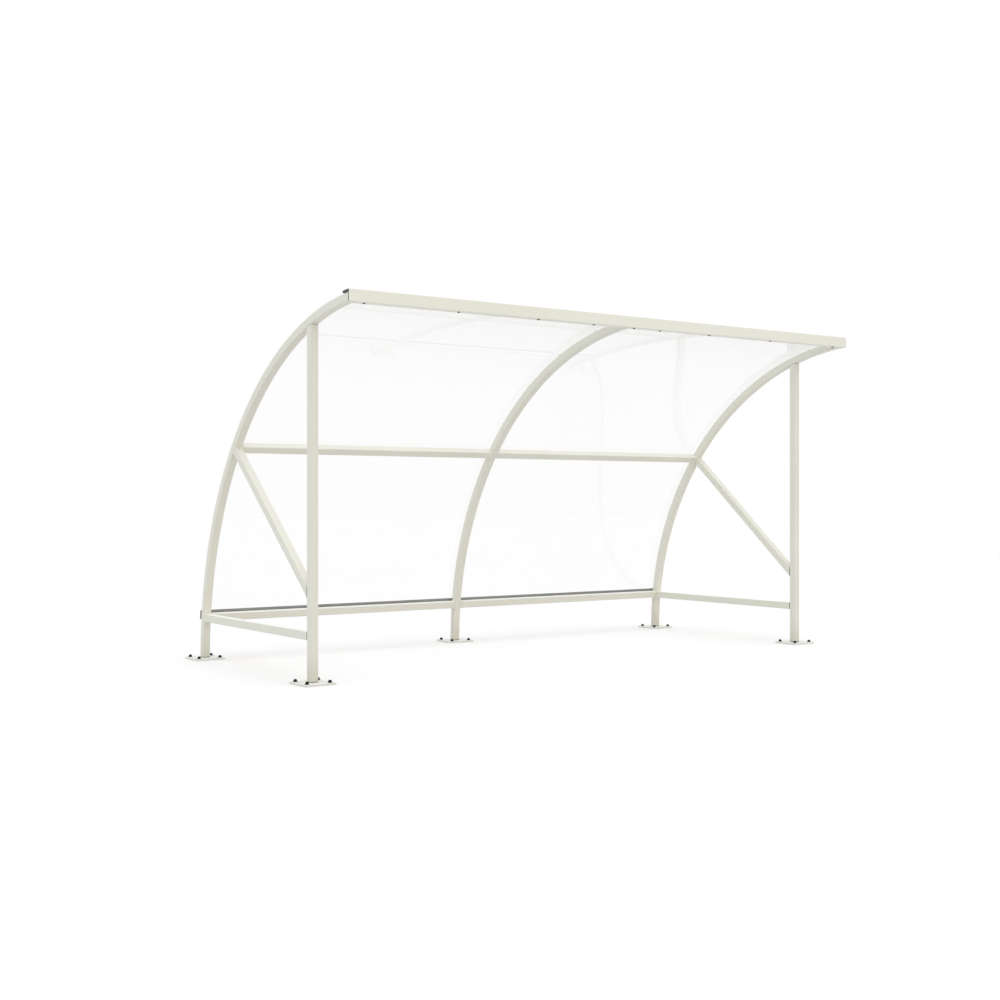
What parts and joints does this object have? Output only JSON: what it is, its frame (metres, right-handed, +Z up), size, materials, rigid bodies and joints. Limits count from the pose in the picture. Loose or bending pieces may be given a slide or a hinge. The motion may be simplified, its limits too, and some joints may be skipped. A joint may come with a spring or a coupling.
{
  "type": "bike shelter",
  "caption": "Open-fronted cycle shelter with arched square-tube ribs, front posts, rails, side braces, clear curved sheets and a folded front fascia.",
  "frame": {"origin": "on the ground, at the centre of the shelter's outline seen from above", "axes": "+Z up, +X along the shelter to the right as seen from its open front, +Y towards its closed back"},
  "size_m": [4.2, 2.135, 2.2314],
  "materials": {
    "frame_paint": "satin powder coat, cream white",
    "plate_paint": "satin powder coat, cream white",
    "fascia_paint": "satin powder coat, cream white",
    "clear_sheet": "clear, glossy",
    "seal_rubber": "matte black rubber",
    "strip_grey": "matte dark grey",
    "plug_plastic": "matte dark grey"
  },
  "bodies": {
    "root": {"left_rib": "frame_paint", "middle_rib": "frame_paint", "right_rib": "frame_paint", "left_rib_plug": "plug_plastic", "middle_rib_plug": "plug_plastic", "right_rib_plug": "plug_plastic", "left_rib_foot_plug": "plug_plastic", "middle_rib_foot_plug": "plug_plastic", "right_rib_foot_plug": "plug_plastic", "left_rear_base_plate": "plate_paint", "middle_rear_base_plate": "plate_paint", "right_rear_base_plate": "plate_paint", "left_front_base_plate": "plate_paint", "right_front_base_plate": "plate_paint", "left_front_post": "frame_paint", "right_front_post": "frame_paint", "left_post_plug": "plug_plastic", "right_post_plug": "plug_plastic", "left_post_foot_plug": "plug_plastic", "right_post_foot_plug": "plug_plastic", "left_side_rail": "frame_paint", "right_side_rail": "frame_paint", "left_side_rail_plug": "plug_plastic", "right_side_rail_plug": "plug_plastic", "left_brace": "frame_paint", "right_brace": "frame_paint", "left_brace_plug": "plug_plastic", "right_brace_plug": "plug_plastic", "left_bottom_rail": "frame_paint", "right_bottom_rail": "frame_paint", "left_middle_rail": "frame_paint", "right_middle_rail": "frame_paint", "left_roof_sheet": "clear_sheet", "right_roof_sheet": "clear_sheet", "front_fascia": "fascia_paint", "front_seal": "seal_rubber", "rear_clamp_strip": "strip_grey"}
  },
  "joints": []
}
